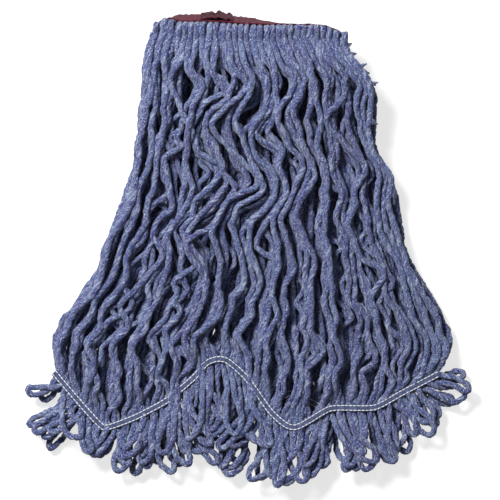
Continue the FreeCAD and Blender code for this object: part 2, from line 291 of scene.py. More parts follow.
class Wander:
    """A smooth wandering either side of nothing, made of waves of unlike lengths."""

    def __init__(self, rng, size, length):
        self.waves = [(size * share, length * stretch, rng.uniform(0, 2 * math.pi))
                      for share, stretch in ((0.62, 1.0), (0.40, 0.57), (0.26, 0.33))]

    def __call__(self, run):
        return sum(size * np.sin(2 * math.pi * run / length + start) for size, length, start in self.waves)


# ---------------------------------------------------------------- materials

class Nodes:
    """A node tree, with short ways to add nodes to it."""

    def __init__(self, tree):
        self.tree = tree

    def fill(self, node, inputs):
        """Links a socket to each named input of a node, or sets a plain value on it."""
        for name, value in inputs.items():
            if isinstance(value, bpy.types.NodeSocket):
                self.tree.links.new(value, node.inputs[name])
            else:
                node.inputs[name].default_value = value

    def add(self, kind, inputs=None, **settings):
        """The outputs of a new node."""
        node = self.tree.nodes.new("ShaderNode" + kind)
        for name, value in settings.items():
            setattr(node, name, value)
        self.fill(node, inputs or {})
        return node.outputs

    def attribute(self, name):
        """A mesh attribute."""
        return self.add("Attribute", attribute_name=name)

    def noise(self, vector, scale, detail=2.0, rough=0.5):
        """A noise texture on a vector."""
        return self.add("TexNoise", {"Scale": scale, "Detail": detail, "Roughness": rough,
                                     "Vector": vector})["Fac"]

    def ramp(self, factor, low, high):
        """0 below the low value and 1 above the high one."""
        return self.add("MapRange", {"From Min": low, "From Max": high, "Value": factor},
                        interpolation_type="SMOOTHSTEP")["Result"]

    def mixed(self, factor, a, b):
        """A mix of two colours, each a socket or three plain values."""
        a, b = ((*colour, 1) if isinstance(colour, tuple) else colour for colour in (a, b))
        return self.add("Mix", {"Factor": factor, 6: a, 7: b}, data_type="RGBA")[2]

    def bump(self, height, strength, distance):
        """A bumped normal."""
        return self.add("Bump", {"Strength": strength, "Distance": distance, "Height": height})["Normal"]

    def behind(self):
        """1 for rays that meet the background by sight, gloss or glass."""
        path = self.add("LightPath")
        either = self.add("Math", {0: path["Is Camera Ray"], 1: path["Is Glossy Ray"]}, operation="MAXIMUM")
        return self.add("Math", {0: either[0], 1: path["Is Transmission Ray"]}, operation="MAXIMUM")[0]


def material(name):
    """A new material, its nodes and its shader."""
    finish = bpy.data.materials.new(name)
    finish.use_nodes = True
    return finish, Nodes(finish.node_tree), finish.node_tree.nodes["Principled BSDF"]


def yarn_material(yarn):
    """Blended yarn: blue fibres with pale flecks and dark purple streaks, twisted with the plies, with
    painted shade in the grooves between the plies.
    """
    finish, nodes, shader = material("blended_yarn")
    blue, purple, dark, pale = (tuple(c) for c in (yarn.blue, yarn.purple, yarn.dark, yarn.pale))
    lay = nodes.attribute("lay")["Vector"]
    fibres = nodes.add("Mapping", {"Scale": (0.30, 1.0, 1.0), "Vector": lay})["Vector"]
    patches = nodes.ramp(nodes.noise(lay, 42), 0.40, 0.62)
    shifted = nodes.add("Math", {0: nodes.attribute("tone")["Fac"], 1: 0.62}, operation="MULTIPLY")[0]
    tint = nodes.add("Math", {0: patches, 1: 0.38, 2: shifted}, operation="MULTIPLY_ADD")[0]
    streaks = nodes.ramp(nodes.noise(fibres, 480, 4.0, 0.8), 0.45, 0.60)
    flecks = nodes.ramp(nodes.noise(lay, 900, 4.0, 0.8), 0.53, 0.62)
    blotches = nodes.ramp(nodes.noise(fibres, 300, 3.0, 0.7), 0.52, 0.66)
    # Painted shade: a mask that is low in the grooves between the plies and high on their crests.
    painted_groove_shade_mask = nodes.ramp(nodes.attribute("ply")["Fac"], -0.1, 0.75)
    colour = nodes.mixed(streaks, nodes.mixed(tint, blue, purple), dark)
    colour = nodes.mixed(flecks, colour, nodes.mixed(0.12, pale, colour))
    colour = nodes.mixed(blotches, colour, nodes.mixed(0.38, colour, pale))
    # Painted shade: in the grooves the colour is mixed a third of the way towards the dark colour.
    colour = nodes.mixed(painted_groove_shade_mask, nodes.mixed(0.32, colour, dark), colour)
    nodes.fill(shader, {"Base Color": colour, "Roughness": 0.92, "Sheen Weight": 0.25,
                        "Sheen Roughness": 0.6, "Specular IOR Level": 0.2,
                        "Normal": nodes.bump(nodes.noise(fibres, 900, 4.0, 0.8), 0.9, 0.9 * MM)})
    return finish


def woven_material(name, colour, rib, roughness=0.85):
    """Woven tape: fine ribs across and along the cloth, from its own UV map in metres."""
    finish, nodes, shader = material(name)
    place = nodes.add("UVMap", uv_map="cloth")["UV"]
    ribs = [nodes.add("TexWave", {"Scale": 0.314 / rib, "Distortion": 0.6, "Detail": 1.0, "Vector": place},
                      bands_direction=axis)["Fac"] for axis in ("X", "Y")]
    weave = nodes.mixed(0.5, *ribs)
    patchy = nodes.ramp(nodes.noise(place, 260, 3.0), 0.42, 0.72)
    dark = nodes.mixed(weave, tuple(0.4 * c for c in colour), colour)
    light = tuple(min(1, 1.2 * c + 0.005) for c in colour)
    nodes.fill(shader, {"Base Color": nodes.mixed(patchy, dark, light), "Roughness": roughness,
                        "Sheen Weight": 0.03, "Specular IOR Level": 0.15,
                        "Normal": nodes.bump(weave, 0.6, 0.25 * MM)})
    return finish


def thread_material(colour):
    """Sewing thread: fine twisted filaments."""
    finish, nodes, shader = material("sewing_thread")
    grain = nodes.noise(nodes.add("TexCoord")["Object"], 2400)
    tint = nodes.ramp(grain, 0.35, 0.7)
    nodes.fill(shader, {"Base Color": nodes.mixed(tint, tuple(0.78 * c for c in colour), colour),
                        "Roughness": 0.55, "Sheen Weight": 0.1,
                        "Normal": nodes.bump(grain, 0.5, 0.2 * MM)})
    return finish


# ---------------------------------------------------------------- the headband's shape

BACK_REACH = 20.3      # how far the yarn reaches up or down the headband before it folds
FRONT_REACH = 18.7
HALF_PACK = 4.9        # half of the pack's thickness
LAYER = 2.45           # a layer's distance from the middle of the pack
CROWN_MIDDLE = -6.3    # the middle of the pack lies this far behind the headband's face
STRAND_ROOM = 5.0      # for half of each outer strand
GRIP = 0.96            # how much narrower the yarn is inside the tape


def lean_at(x):
    """How far the headband leans over, in radians: its two ends turn under."""
    x = np.asarray(x, float)
    right = -21.0 * smooth((x + 8) / 66)
    left = -34.0 * smooth((-x - 60) / 20)
    return np.radians(CAD_LEAN + 3.0 + right + left)


def sag_at(x):
    """How far the soft headband sags towards the loops, at its right and at its two ends."""
    x = np.asarray(x, float)
    return -8.5 * smooth((x + 45) / 120) - 12.0 * smooth((-x - 66) / 20) - 6.0 * smooth((x - 64) / 20)


def band_point(x, out, up):
    """A place on the headband: across it, out of its face and up its width, from the middle of its yarn."""
    x, out, up = np.broadcast_arrays(np.asarray(x, float), out, up)
    lean, rest = lean_at(x), math.radians(CAD_LEAN)
    y = CROWN_MIDDLE * math.cos(rest) + out * np.cos(lean) - up * np.sin(lean) + sag_at(x)
    z = CROWN_MIDDLE * math.sin(rest) + out * np.sin(lean) + up * np.cos(lean)
    return np.stack([x, y, z], -1)


def on_top(p):
    """Whether strand p is one of those on the outside of the fold."""
    return p % 3 == 2


def girth_of(side, p):
    """How thick strand p is, as a share of the yarn's own thickness."""
    return 1.16 if side == "back" else 1.08 if on_top(p) else 0.92


def shift_in_pack(p):
    """How far strand p lies out from the middle of the pack, towards the outside of the fold."""
    return (-LAYER, -0.3 * LAYER, LAYER)[p % 3]


def held_at(p):
    """How far across the headband strand p is held."""
    return (p / (STRANDS - 1) - 0.5) * (PACK_SPAN - STRAND_ROOM)


def gripped_at(p):
    """How far across the headband strand p lies inside the tape, which closes round the outer ones."""
    return held_at(p) * GRIP


def spread_at(p):
    """How far across the headband strand p lies once it is over the fold."""
    across = 2 * p / (STRANDS - 1) - 1
    return held_at(p) + 2.6 * across**9 + 0.7 * math.sin(2.4 * p) + 0.5 * math.sin(5.1 * p + 1)


# ---------------------------------------------------------------- the lie of the yarn

def edges_at(below):
    """The left and right edges of the yarn at a distance below the headband."""
    table = np.array(EDGES, float)
    return np.interp(below, table[:, 0], table[:, 1]), np.interp(below, table[:, 0], table[:, 2])


def rounded_line(line, corner, gap=1.0):
    """A broken line in plan with its corners rounded, as evenly spaced points."""
    line = np.array(line, float)
    controls = [line[0]]
    for before, at, after in zip(line, line[1:], line[2:]):
        for other in (before, after):
            reach = min(corner, 0.45 * np.linalg.norm(other - at))
            controls.append(at + (other - at) / np.linalg.norm(other - at) * reach)
    controls.append(line[-1])
    controls = np.array(controls)
    return evenly(nurbs_line(np.column_stack([controls, np.zeros(len(controls))])), gap)[:, :2]


class Heights:
    """The top of the yarn laid so far, over a grid on the floor."""

    CELL = 1.0
    SPAN = 250             # half the grid's side
    MIDDLE = (0, -200)

    def __init__(self, radius):
        count = int(2 * self.SPAN / self.CELL)
        self.top = np.full((count, count), FLOOR)
        reach = int(radius / self.CELL) + 1
        near = [(i, j, math.hypot(i, j) * self.CELL) for i in range(-reach, reach + 1)
                for j in range(-reach, reach + 1)]
        near = [(i, j, math.sqrt(radius**2 - d**2)) for i, j, d in near if d < radius]
        self.cells = np.array([(i, j) for i, j, _ in near])
        self.round = np.array([rise for *_, rise in near])

    def _index(self, plan):
        cell = np.round((plan - self.MIDDLE) / self.CELL).astype(int) + int(self.SPAN / self.CELL)
        return np.clip(cell[:, None, :] + self.cells[None], 0, len(self.top) - 1)

    def rest(self, plan):
        """The lowest heights at which a strand along the plan can lie."""
        at = self._index(plan)
        return (self.top[at[..., 0], at[..., 1]] + self.round).max(1)

    def lay(self, path):
        """Adds a laid strand."""
        at = self._index(path[:, :2])
        np.maximum.at(self.top, (at[..., 0], at[..., 1]), path[:, 2:3] + self.round)


def parted(x, y):
    """How far the gaps in the front curtain push a strand aside at a place."""
    push = 0.0
    for middle, level, half_width, half_length in GAPS:
        near = np.clip((y - level) / half_length, -1, 1)
        away = x - middle
        push = push + (1.3 * half_width * np.cos(near * math.pi / 2) ** 1.5 * np.tanh(away / 1.5)
                       * np.exp(-((away / (2.9 * half_width)) ** 2)))
    return push


class Curtain:
    """The plan of one half of the yarn: where its strands run and how its loops hang."""

    STEP = 8.0             # between a strand's control points
    KINK = 44.0            # from one kink of the waves to the next
    GROUP = (3, 8)         # strands that wander together: at least this many, and fewer than this
    STRAY = (0.46, 0.20)   # the share that strays across others, left of the middle and elsewhere
    SHORTEST = 22.0        # the least and the most that a loop reaches past the tail tape
    LONGEST = 62.0
    # half a loop's width at some shares of its length, for each kind of loop, and how often it comes
    SHARES = (0.16, 0.36, 0.58, 0.80, 0.97)
    KINDS = {"shut": (3.4, 3.0, 3.1, 3.7, 3.4), "ring": (3.3, 2.2, 4.8, 7.2, 5.0),
             "twist": (3.2, 0.4, -3.1, -4.0, -3.4)}
    OFTEN = (0.32, 0.40, 0.28)

    def __init__(self, side, rng):
        self.side = side
        self.tail = rounded_line(TAIL_LINES[side], TAIL_CORNER)
        front = side == "front"
        self.waves, self.groups = [], []
        while len(self.waves) < STRANDS:
            count = min(int(rng.integers(*self.GROUP)), STRANDS - len(self.waves))
            middle = len(self.waves) + (count - 1) / 2
            pull = Wander(rng, 0.3, rng.uniform(60, 110))
            drift = Wander(rng, 2.2 if front else 0.5, rng.uniform(60, 95))
            size = rng.uniform(0.7, 1.3)
            slip = rng.normal(0, 0.26)
            for _ in range(count):
                at = len(self.waves)
                often = self.STRAY[0 if 12 < at < 55 else 1]
                if front and 8 < at < STRANDS - 9 and rng.random() < often:
                    own = Wander(rng, rng.uniform(5, 12), rng.uniform(60, 125))
                else:
                    own = Wander(rng, 1.2 if front else 0.8, rng.uniform(30, 62))
                self.waves.append((drift, own, size * rng.uniform(0.8, 1.2), slip + rng.normal(0, 0.14)))
                self.groups.append((middle, pull))
        self.order = np.argsort([on_top(p) * 0.95 + rng.uniform(0, 1.0) for p in range(STRANDS)])
        self.rng = rng

    def sewn_at(self, p):
        """Where strand p crosses the tail tape."""
        free = len(self.tail) - 1 - 2 * TAIL_END
        at = TAIL_END + (p + 0.5) / STRANDS * free
        low = int(at)
        return self.tail[low] + (self.tail[min(low + 1, len(self.tail) - 1)] - self.tail[low]) * (at - low)

    def sway(self, p, below, before):
        """The sideways lie of strand p at a distance below the headband and before the tail tape."""
        across = 2 * p / (STRANDS - 1) - 1
        drift, own, size, slip = self.waves[p]
        reach = 3.4 + 8.6 * math.exp(-(((across + 0.14) / 0.36) ** 2))
        if self.side == "back":
            reach, across = 2.2, -across
        late = 20 * smooth((across + 0.1) / 0.8) - 10 * smooth((-across - 0.4) / 0.4)
        phase = math.pi * (below - 38 + late) / self.KINK + slip
        zig = np.arcsin(0.96 * np.cos(phase)) / math.asin(0.96)
        fade = 1 - 0.68 * smooth((below - 150) / 70)
        turn = 2 * math.pi * below / 34 + 3 * slip + across * 2
        crimp = 2.7 if self.side == "front" else 0.8
        crimp = crimp * smooth((below - 215) / 30) * np.arcsin(0.9 * np.sin(turn)) / 1.12
        opening = smooth((below - 14) / 30) * smooth(before / 30)
        close = 0.6 * smooth(below / 12) * smooth(before / 12)
        return (opening * (reach * size * fade * zig + drift(below) + crimp)
                + (opening + close) * 0.7 * own(below))

    def leg(self, p):
        """The plan of strand p from just past its fold to the tail tape, as control points."""
        across = (p + 0.5) / STRANDS
        end = self.sewn_at(p)
        top = band_point(held_at(p), 0, FRONT_REACH if self.side == "front" else -BACK_REACH)
        left, right = edges_at(-end[1])
        across_end = (end[0] - left) / (right - left)
        start = top[1] - 7.0
        reach = start - end[1]
        below = np.linspace(0, reach, max(3, round(reach / self.STEP)) + 1)
        lefts, rights = edges_at(below - start)
        outer = smooth((abs(2 * across - 1) - 0.6) / 0.4)
        drawn_in = (1 - outer) * smooth(below / reach) ** 2.5 + outer * (below / reach) ** 12
        share = across + (across_end - across) * drawn_in
        x = lefts + (rights - lefts) * share
        x += (spread_at(p) - x[0]) * (1 - smooth(below / 36))
        x += self.sway(p, below, reach - below)
        if self.side == "front":
            middle, pull = self.groups[p]
            loose = smooth((below - 22) / 34) * smooth((reach - below) / 22)
            x += loose * (middle - p) * (rights - lefts) / STRANDS * (0.45 + pull(below))
            x += parted(x, start - below) * smooth(below / 20) * smooth((reach - below) / 16)
        return np.column_stack([x, start - below])

    def loop(self, k):
        """The plan of loop k past the tail tape, as control points between its two legs."""
        rng = self.rng
        a, b = self.sewn_at(2 * k), self.sewn_at(2 * k + 1)
        lean = 2 * (2 * k + 1) / STRANDS - 1
        fan = FANS[self.side][1 if lean > 0 else 0] - 270
        angle = 270 + fan * abs(lean) ** 3.2 + rng.normal(0, 9 + 8 * lean**8)
        curl = rng.choice((-1, 1)) * rng.uniform(5, 58)
        middle = (a + b) / 2
        way = heading(angle)
        low_x, low_y = np.array(LOW_EDGE, float).T
        length = self.SHORTEST
        while length < self.LONGEST:
            x, y = middle + way * length
            if y < np.interp(x, low_x, low_y) + 3 or not LOOPS_WITHIN[0] < x < LOOPS_WITHIN[1]:
                break
            length += 1.0
        length *= rng.uniform(0.96, 1.05) if rng.random() < 0.62 else rng.uniform(0.76, 0.96)
        halves = self.KINDS[rng.choice(tuple(self.KINDS), p=self.OFTEN)]
        left, right, at, last = [], [], middle, 0.0
        for share, half in zip((*self.SHARES, 1.06), (*halves, 0.0)):
            ahead = heading(angle + curl * share**1.6 + rng.normal(0, 4))
            at = at + ahead * length * (share - last)
            last = share
            side = np.array([-ahead[1], ahead[0]])
            half *= rng.uniform(0.85, 1.15)
            left.append(at - side * half)
            right.append(at + side * half)
        return np.array([a, *left[:-1], left[-1], *right[:-1][::-1], b])


# How the soft pile presses down. These follow the heights of the frame's own solids.
PILE_LOW = 15.5        # above this, over most of the length, the yarn presses down
PILE_RISE = 24         # and this much higher at the headband
PRESS = 0.63           # the share of the height above that is pressed out


def settled(y, z):
    """The height that yarn stacked up to z at a distance down the mop presses down to."""
    ceiling = FLOOR + PILE_LOW + PILE_RISE * (1 - smooth((-y - 20) / 125))
    return z - PRESS * np.maximum(z - ceiling, 0)


SOFT = 0.88            # the share of its radius with which a strand rests on others
LAID_GAP = 1.5         # between a laid strand's points
STEEPEST = 0.24        # how steeply a stiff strand drops off another, in height per length


@functools.lru_cache(maxsize=1)
def laid_yarn(seed, thickness):
    """Lays the strands of both curtains on one another: each loop's line and the height at each tail."""
    rng = np.random.default_rng(seed)
    radius = thickness / 2
    gap = LAID_GAP
    soft = Heights(SOFT * radius)
    loops, tails = {}, {}
    for side in ("back", "front"):
        curtain = Curtain(side, rng)
        front = side == "front"
        sewn = np.array([curtain.sewn_at(p) for p in range(STRANDS)])
        base = np.maximum(soft.rest(sewn), FLOOR + radius + 1.6) + (2.2 if front else 0)
        even = blurred(base, 2.0)
        base = 0.5 * (even + blurred(np.maximum(base, even), 2.0))
        tails[side] = (curtain, base)
        plans, halves = {}, {}
        for k in range(STRANDS // 2):
            tip = curtain.loop(k)
            whole = np.vstack([curtain.leg(2 * k)[:-1], tip, curtain.leg(2 * k + 1)[::-1][1:]])
            line = nurbs_line(np.column_stack([whole, np.zeros(len(whole))]))
            plans[k] = evenly(line, gap)[:, :2]
            run = np.arange(len(plans[k])) * gap
            ends = smooth(run / 25) * smooth((run[-1] - run) / 25)
            for axis in (0, 1):
                plans[k][:, axis] += ends * Wander(rng, 0.42, rng.uniform(13, 19))(run)
        for p in curtain.order:
            plan = plans[p // 2]
            middle = len(plan) // 2
            half = plan[middle:][::-1] if p % 2 else plan[:middle + 1]
            top_z = band_point(held_at(p), 0, FRONT_REACH if front else -BACK_REACH)[2]
            start_z = top_z + shift_in_pack(p) * (1 if front else -1)
            run = np.arange(len(half)) * gap
            rest = soft.rest(half)
            if front:
                hollow = 7.0 * np.exp(-(((run - 38) / 7.5) ** 2))
                hang = start_z + (FLOOR + 12 - start_z) * smooth((run - 8) / 140) - hollow
                rest = np.maximum(rest, np.where(run < 150, hang, FLOOR))
            to_sewn = np.linalg.norm(half - sewn[p], axis=1)
            pinch = 1 - smooth((to_sewn - 6) / 22)
            flat = base[p] + 0.7 * radius * (p % 2)
            if front and any(low < sewn[p, 0] < high for low, high in COVERS):
                flat += 2.2 * radius
            lift = 2.0 if front and on_top(p) else 0.6
            loft = lift + Wander(rng, 1.5 if front else 0.6, rng.uniform(36, 80))(run)
            height = blurred(bridged(rest, STEEPEST * gap), 2.6) + loft * smooth((run - 10) / 30)
            height = height * (1 - pinch) + flat * pinch
            near = 1 - smooth((run - 2) / 22)
            height = height * (1 - near) + start_z * near
            height = height + Wander(rng, 0.35, 15)(run) * smooth((run - 6) / 20)
            halves[p] = np.column_stack([half, np.maximum(height, FLOOR + 1.25 * radius)])
            soft.lay(halves[p])
        for k in range(STRANDS // 2):
            first, second = halves[2 * k], halves[2 * k + 1]
            joint = max(first[-1, 2], second[-1, 2])
            for half in (first, second):
                away = (len(half) - 1 - np.arange(len(half))) * gap
                half[:, 2] += (joint - half[-1, 2]) * (1 - smooth(away / 24))
            loops[side, k] = np.vstack([first, second[::-1][1:]])
    for line in loops.values():
        line[:, 2] = settled(line[:, 1], line[:, 2])
    for side, (curtain, base) in tails.items():
        sewn = np.array([curtain.sewn_at(p) for p in range(STRANDS)])
        tails[side] = (curtain, settled(sewn[:, 1], base))
    return loops, tails


def over_the_fold(side, p, radius):
    """Control points of strand p from inside the headband round its edge to the curtain."""
    up = 1 if side == "front" else -1
    out = shift_in_pack(p)
    reach = FRONT_REACH if side == "front" else BACK_REACH
    reach += 0.8 * math.sin(3.7 * p) + 0.5 * math.sin(7.9 * p + 2)
    x = gripped_at(p)
    inside = [band_point(x, out, up * b) for b in (4.0, 9.5)]
    x = spread_at(p)
    inside.append(band_point(x, out, up * (reach - 4.0)))
    fold = band_point(x, 0, up * reach)
    lean = float(lean_at(x))
    level = fold[2] + out * up
    # the corner where the held stretch's line meets the curtain's level
    span = (level - inside[-1][2]) / (up * math.cos(lean))
    corner = inside[-1] + span * np.array([0, -up * math.sin(lean), up * math.cos(lean)])
    route = np.array(inside + [corner + (inside[-1] - corner) * 0.12, [x, corner[1] - 1.2, level]])
    route[:, 2] = np.maximum(route[:, 2], FLOOR + 1.3 * radius)
    return list(route)


# ---------------------------------------------------------------- yarn

SIDES = 12             # points round a strand
RING_GAP = 1.7         # between its rings
TIP_GAP = 1.2          # between the rings of a frayed tip


def spun(path, rng, radius, twist, girths, fray):
    """A strand of four twisted plies along a path: points, faces, and each point's place on the yarn."""
    count = len(path)
    way = tangents(path)
    across = np.zeros((count, 3))
    first = np.cross(way[0], (0.1, 0.2, 1.0))
    across[0] = first / np.linalg.norm(first)
    for i in range(1, count):
        side = across[i - 1] - way[i] * across[i - 1].dot(way[i])
        across[i] = side / np.linalg.norm(side)
    other = np.cross(way, across)
    run = run_of(path)
    angle = np.arange(SIDES) * 2 * math.pi / SIDES
    turn = 2 * math.pi * (run + 2.2 * Wander(rng, 1.0, 90)(run)) / twist
    lobe = np.cos(4 * (angle[None] - turn[:, None]))
    slub = 1 + Wander(rng, 0.07, 46)(run) + Wander(rng, 0.06, 9)(run)
    middle = np.abs(run - run[-1] / 2)
    from_end = run[-1] / 2 - middle
    share = smooth(0.5 + (run - run[-1] / 2) / 40)
    girth = girths[0] + (girths[1] - girths[0]) * share
    girth += (1.09 - girth) * np.maximum(1 - smooth((middle - 48) / 22), 1 - smooth((from_end - 16) / 14))
    size = radius * (slub * girth)[:, None] * (0.91 + 0.075 * lobe + rng.normal(0, 0.075, (count, SIDES)))
    if fray:
        size *= np.linspace(1, 0.3, count)[:, None] * rng.uniform(0.8, 1.2, (count, SIDES))
    size[0] *= 0.5
    size[-1] *= 0.5
    points = (path[:, None] + across[:, None] * (np.cos(angle)[None, :, None] * size[..., None])
              + other[:, None] * (np.sin(angle)[None, :, None] * size[..., None]))
    ring = np.arange(SIDES)
    start = (np.arange(count - 1) * SIDES)[:, None]
    faces = np.stack([start + ring, start + np.roll(ring, -1), start + SIDES + np.roll(ring, -1),
                      start + SIDES + ring], -1).reshape(-1, 4)
    spin = angle[None] - turn[:, None]
    # ply: 1 on a ply's crest and 0 in the groove between plies; the yarn material uses it to paint shade into
    # the grooves.
    ply = 0.5 + 0.5 * lobe
    begin = rng.uniform(0, 900)
    lay = np.stack([np.broadcast_to((run + begin)[:, None], spin.shape), radius * np.cos(spin),
                    radius * np.sin(spin)], -1) * MM
    return points.reshape(-1, 3), faces, lay.reshape(-1, 3), ply.ravel()


def ends_closed(rings):
    """Faces that close the two ends of a strand of some rings."""
    last = rings * SIDES
    faces = []
    for base, order in ((0, -1), (last - SIDES, 1)):
        for i in range(1, SIDES // 2):
            quad = [base + i - 1, base + i, base + SIDES - 1 - i, base + SIDES - i]
            faces.append([corner % last for corner in quad][::order])
    return np.array(faces)


def yarn_piece(name, paths, finish, rng, radius, twist, girths=None, fray=False):
    """One object of several strands, each with the girth of its two halves."""
    points, faces, lays, plies, tones, total = [], [], [], [], [], 0
    for path, girth in zip(paths, girths or [(1.0, 1.0)] * len(paths)):
        more, quads, lay, ply = spun(path, rng, radius, twist, girth, fray)
        plies.append(ply)
        faces.append(quads + total)
        faces.append(ends_closed(len(path)) + total)
        points.append(more)
        lays.append(lay)
        tones.append(np.full(len(more), rng.uniform(0, 1)))
        total += len(more)
    piece = new_mesh(name, np.vstack(points), np.vstack(faces),
                     (("lay", "FLOAT_VECTOR", np.vstack(lays)), ("ply", "FLOAT", np.concatenate(plies)),
                      ("tone", "FLOAT", np.concatenate(tones))))
    piece.data.materials.append(finish)
    return piece


def frayed_tips(seed, thickness):
    """Short loose ends of yarn, each rooted in the strand at the front curtain's right edge."""
    loops, _ = laid_yarn(seed, thickness)
    laid = np.vstack([line for (side, _), line in loops.items() if side == "front"])
    tips = []
    for y, angle, length in TIPS:
        level = laid[np.abs(laid[:, 1] - y) < 1.5]
        root = level[level[:, 0].argmax()]
        way = np.append(heading(angle), -0.2)
        spots = [root - way * 1.5, root, root + way * thickness / 2, root + way * (thickness / 2 + length)]
        tips.append(evenly(nurbs_line(np.array(spots)), TIP_GAP))
    return tips


class MOPHEAD_OT_yarn(bpy.types.Operator):
    """Lay both curtains of looped yarn and the stretch that the headband holds"""
    bl_idname = "mophead.yarn"
    bl_label = "Yarn"

    def execute(self, context):
        yarn = context.scene.mop_yarn
        thickness = yarn.thickness / MM
        radius = thickness / 2
        twist = yarn.twist / MM
        finish = yarn_material(yarn)
        loops, _ = laid_yarn(yarn.seed, thickness)
        rng = np.random.default_rng(yarn.seed + 1)
        for side in ("front", "back"):
            for h, node in enumerate(LOOP_NODES[side]):
                paths = []
                ks = range(h * LOOPS_IN_HANK, (h + 1) * LOOPS_IN_HANK)
                for k in ks:
                    laid = loops[side, k]
                    down = over_the_fold(side, 2 * k, radius)
                    back = over_the_fold(side, 2 * k + 1, radius)
                    start = evenly(nurbs_line(np.array(down + [laid[0], laid[2], laid[4]])), 1.5)
                    end = evenly(nurbs_line(np.array(back + [laid[-1], laid[-3], laid[-5]])), 1.5)
                    whole = np.vstack([start, laid[5:-5], end[::-1]])
                    paths.append(evenly(whole, RING_GAP))
                piece = yarn_piece(node + "_loops", paths, finish, rng, radius, twist,
                                   [[girth_of(side, p) for p in (2 * k, 2 * k + 1)] for k in ks])
                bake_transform(piece)
                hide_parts(node)
        tips = yarn_piece("front_curtain_frayed_tips", frayed_tips(yarn.seed, thickness), finish, rng,
                          radius * 0.95, twist, fray=True)
        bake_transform(tips)
        paths = []
        for p in range(STRANDS):
            out = shift_in_pack(p)
            ends = [band_point(gripped_at(p), out, up) for up in (-11.0, 0.0, 11.0)]
            paths.append(evenly(np.array(ends), 2.0))
        crown = yarn_piece("headband_held_yarn", paths, finish, rng, radius * 0.9, twist)
        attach(crown, "headband")
        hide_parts("headband_yarn")
        return {"FINISHED"}


# ---------------------------------------------------------------- tapes and stitches

def grid_faces(rows, columns, closed=False):
    """Quads of a grid of points, with its last row joined to the first if closed."""
    faces = []
    for i in range(rows if closed else rows - 1):
        for j in range(columns - 1):
            a, b = i * columns + j, ((i + 1) % rows) * columns + j
            faces.append((a, b, b + 1, a + 1))
    return np.array(faces)


def cloth_piece(name, points, run, width, thickness, finish, closed=False):
    """A tape from a grid of points, with cloth UVs in metres, given its thickness by modifiers."""
    rows, columns = points.shape[:2]
    piece = new_mesh(name, points.reshape(-1, 3), grid_faces(rows, columns, closed))
    layer = piece.data.uv_layers.new(name="cloth")
    along = np.repeat(run, columns) * MM
    across = np.tile(np.linspace(0, width, columns), rows) * MM
    index = np.zeros(len(piece.data.loops), np.int32)
    piece.data.loops.foreach_get("vertex_index", index)
    uv = np.stack([along[index], across[index]], -1)
    if closed:
        face_of = np.arange(len(index)) // 4
        last = face_of >= (rows - 1) * (columns - 1)
        wrap = last & (uv[:, 0] < along.max() / 2)
        uv[wrap, 0] += along.max() + (run[1] - run[0]) * MM
    layer.data.foreach_set("uv", uv.astype(np.float32).ravel())
    piece.data.materials.append(finish)
    deselect()
    piece.select_set(True)
    bpy.context.view_layer.objects.active = piece
    wall = piece.modifiers.new("wall", "SOLIDIFY")
    wall.thickness = thickness * MM
    wall.offset = 0
    wall.use_even_offset = False
    bpy.ops.object.modifier_apply(modifier="wall")
    edge = piece.modifiers.new("edge", "BEVEL")
    edge.width = 0.28 * thickness * MM
    edge.segments = 2
    edge.limit_method = "ANGLE"
    edge.angle_limit = math.radians(50)
    bpy.ops.object.modifier_apply(modifier="edge")
    deselect()
    return piece


# A stitch's length, the gap to the next one and its thread's thickness
TAIL_STITCH = (3.3, 0.35, 0.9)
SEAM_STITCH = (4.2, 1.0, 0.9)
TAIL_THICKNESS = 0.6


def stitch_row(name, line, normals, stitch, finish):
    """Stitches end to end along a line of points a millimetre apart, each pulled in at its two ends."""
    length, gap, thread = stitch
    points, faces, total = [], [], 0
    ring = np.arange(8) * math.pi / 4
    run = run_of(line)
    begin = gap / 2
    shares = np.array([0.0, 0.12, 0.5, 0.88, 1.0])
    sizes = np.array([0.35, 0.9, 1.0, 0.9, 0.35])
    sinks = np.array([-0.75, -0.15, 0.12, -0.15, -0.75])
    while begin + length < run[-1]:
        at = begin + length * shares
        spine = np.column_stack([np.interp(at, run, line[:, i]) for i in range(3)])
        up = np.column_stack([np.interp(at, run, normals[:, i]) for i in range(3)])
        up /= np.linalg.norm(up, axis=1, keepdims=True)
        side = np.cross(tangents(spine), up)
        centre = spine + up * (sinks * thread)[:, None]
        loops = (centre[:, None]
                 + side[:, None] * (np.cos(ring)[None] * sizes[:, None] * thread / 2)[..., None]
                 + up[:, None] * (np.sin(ring)[None] * sizes[:, None] * thread / 2)[..., None])
        points.append(loops.reshape(-1, 3))
        for i in range(4):
            for j in range(8):
                a, b = total + i * 8 + j, total + i * 8 + (j + 1) % 8
                faces.append((a, a + 8, b + 8, b))
        for base, flip in ((total, 1), (total + 32, -1)):
            for i in (1, 2, 3):
                faces.append((base + i - 1, base + i, base + 7 - i, base + 8 - i)[::flip])
        total += 40
        begin += length + gap
    piece = new_mesh(name, np.vstack(points), np.array(faces))
    piece.data.materials.append(finish)
    return piece


def joined(name, pieces):
    """Several objects made one."""
    deselect()
    for piece in pieces:
        piece.select_set(True)
    bpy.context.view_layer.objects.active = pieces[0]
    bpy.ops.object.join()
    whole = bpy.context.object
    whole.name = name
    whole.data.name = name
    deselect()
    return whole


